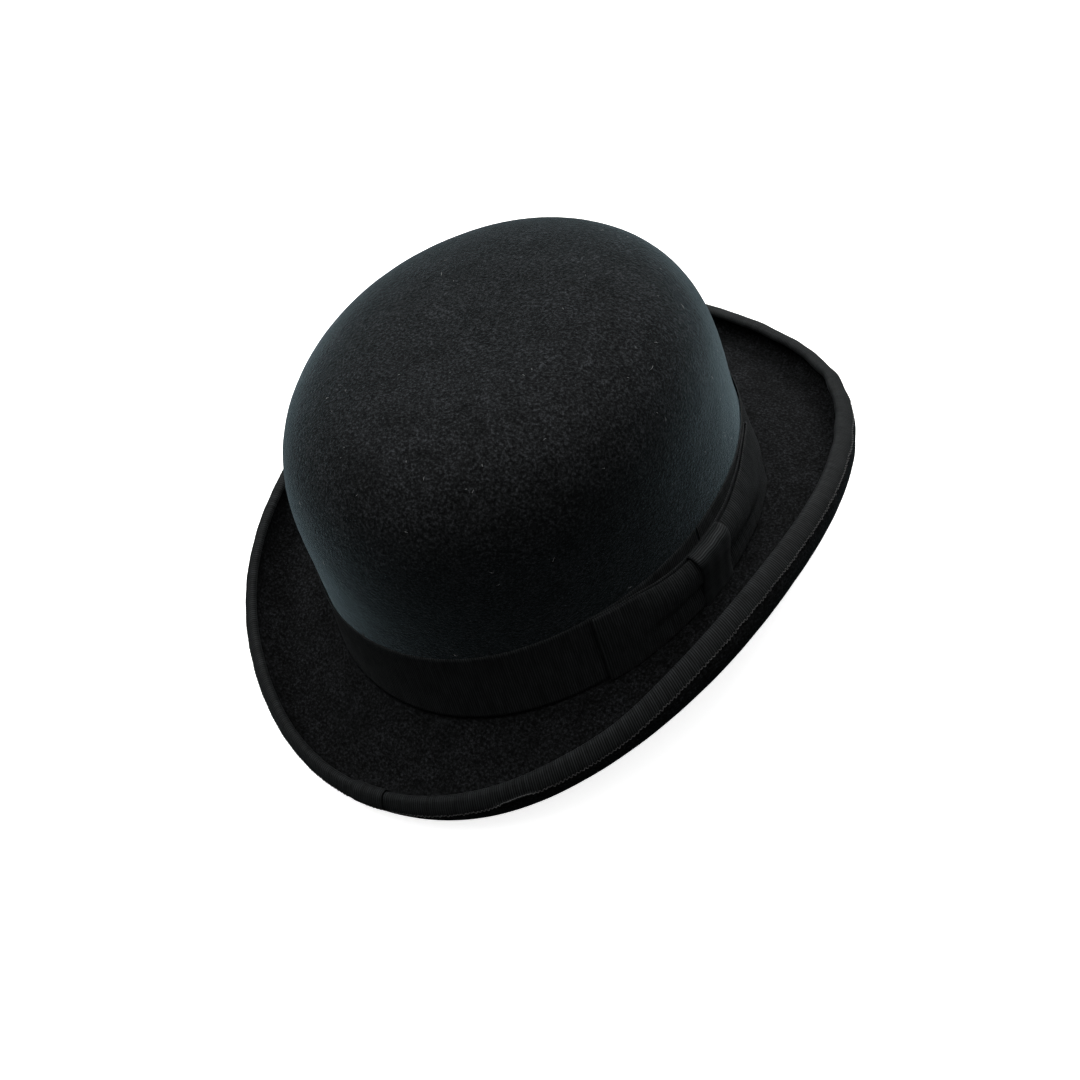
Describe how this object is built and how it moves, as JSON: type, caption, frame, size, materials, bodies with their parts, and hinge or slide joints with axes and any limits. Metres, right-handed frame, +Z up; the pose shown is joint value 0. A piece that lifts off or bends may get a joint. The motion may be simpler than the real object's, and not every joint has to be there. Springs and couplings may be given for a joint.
{
  "type": "bowler hat",
  "caption": "Black wool felt bowler hat with a domed crown, curled bound brim, ribbed hat band, side bow, sweatband and satin lining.",
  "frame": {"origin": "middle of the hat's outline, on the plane that the brim stands on", "axes": "+Z up through the crown, -Y to the front of the hat, +X to the wearer's left, where the bow is"},
  "size_m": [0.2384, 0.3074, 0.1467],
  "materials": {
    "felt": "dense wool felt, black, matt, with a fine nap",
    "grosgrain": "black grosgrain ribbon, fine cross ribs, low sheen",
    "thread": "black sewing thread",
    "leather": "dark brown sheepskin, fine grain, satin",
    "reed_plastic": "flexible off-white plastic strip",
    "tape": "black cotton tape",
    "lining_satin": "charcoal grey satin",
    "label_tape": "off-white woven tape, blank"
  },
  "bodies": {
    "root": {"felt_body": "felt", "brim_binding": "grosgrain", "binding_stitches": "thread", "hat_band": "grosgrain", "band_tacks": "thread", "bow_loop": "grosgrain", "bow_knot": "grosgrain", "bow_stitches": "thread", "sweatband": "leather", "sweatband_reed": "reed_plastic", "reed_tape": "tape", "sweatband_stitches": "thread", "seam_stitches": "thread", "sweatband_bow": "grosgrain", "size_tab": "label_tape", "lining_side": "lining_satin", "lining_tip": "lining_satin", "lining_stitches": "thread"}
  },
  "joints": []
}
